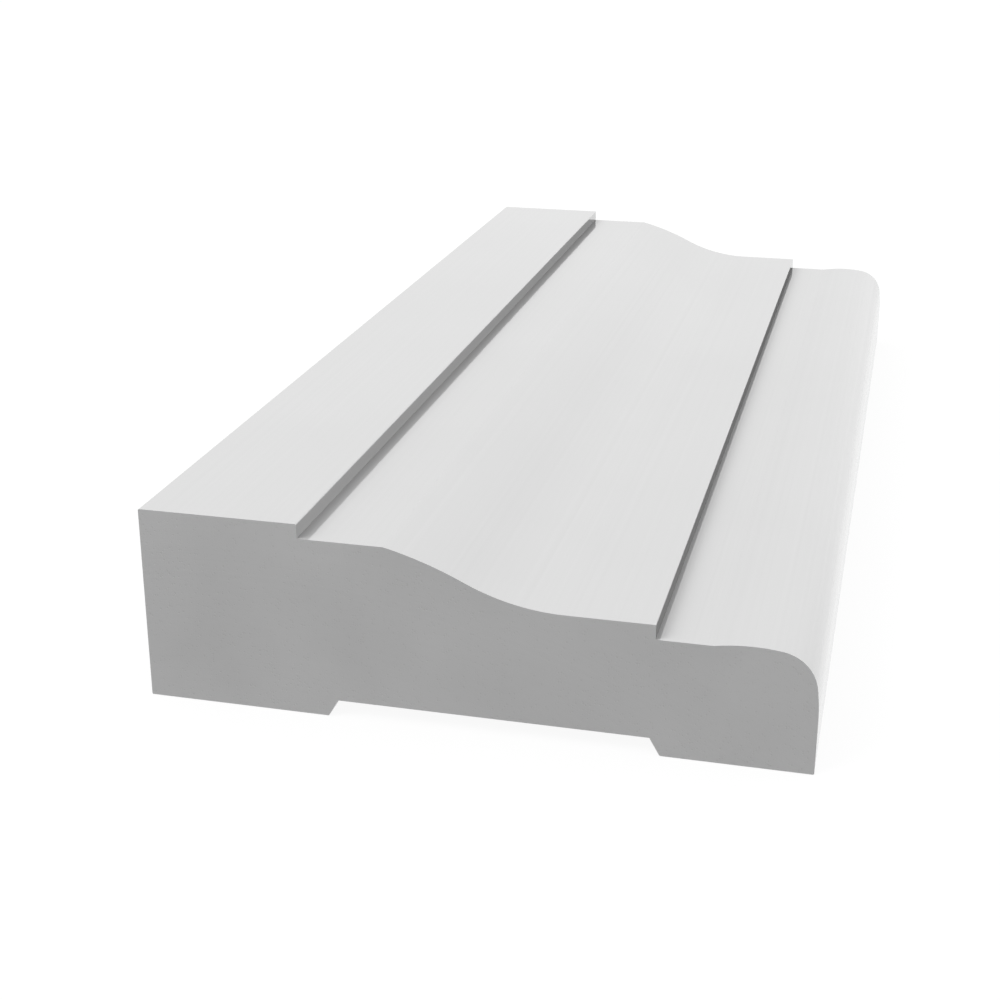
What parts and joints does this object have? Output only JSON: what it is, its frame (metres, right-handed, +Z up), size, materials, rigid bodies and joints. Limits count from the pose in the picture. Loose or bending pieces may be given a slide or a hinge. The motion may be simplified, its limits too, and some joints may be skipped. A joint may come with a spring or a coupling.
{
  "type": "architrave moulding",
  "caption": "Square-cut length of white architrave moulding: thick outer band, small step, ogee, flat, second step and rounded nose, with a shallow recess along its back.",
  "frame": {"origin": "middle of the box's base: the moulding lies on the two feet of its back", "axes": "+X across the width from the thick outer band to the thin rounded nose, +Y along the length, +Z up, out of the moulded face"},
  "size_m": [0.0888, 0.2032, 0.027],
  "materials": {
    "cellular_pvc": "glossy white extruded skin on the long faces, matt and finely porous sawn ends"
  },
  "bodies": {
    "root": {"architrave_moulding": "cellular_pvc"}
  },
  "joints": []
}
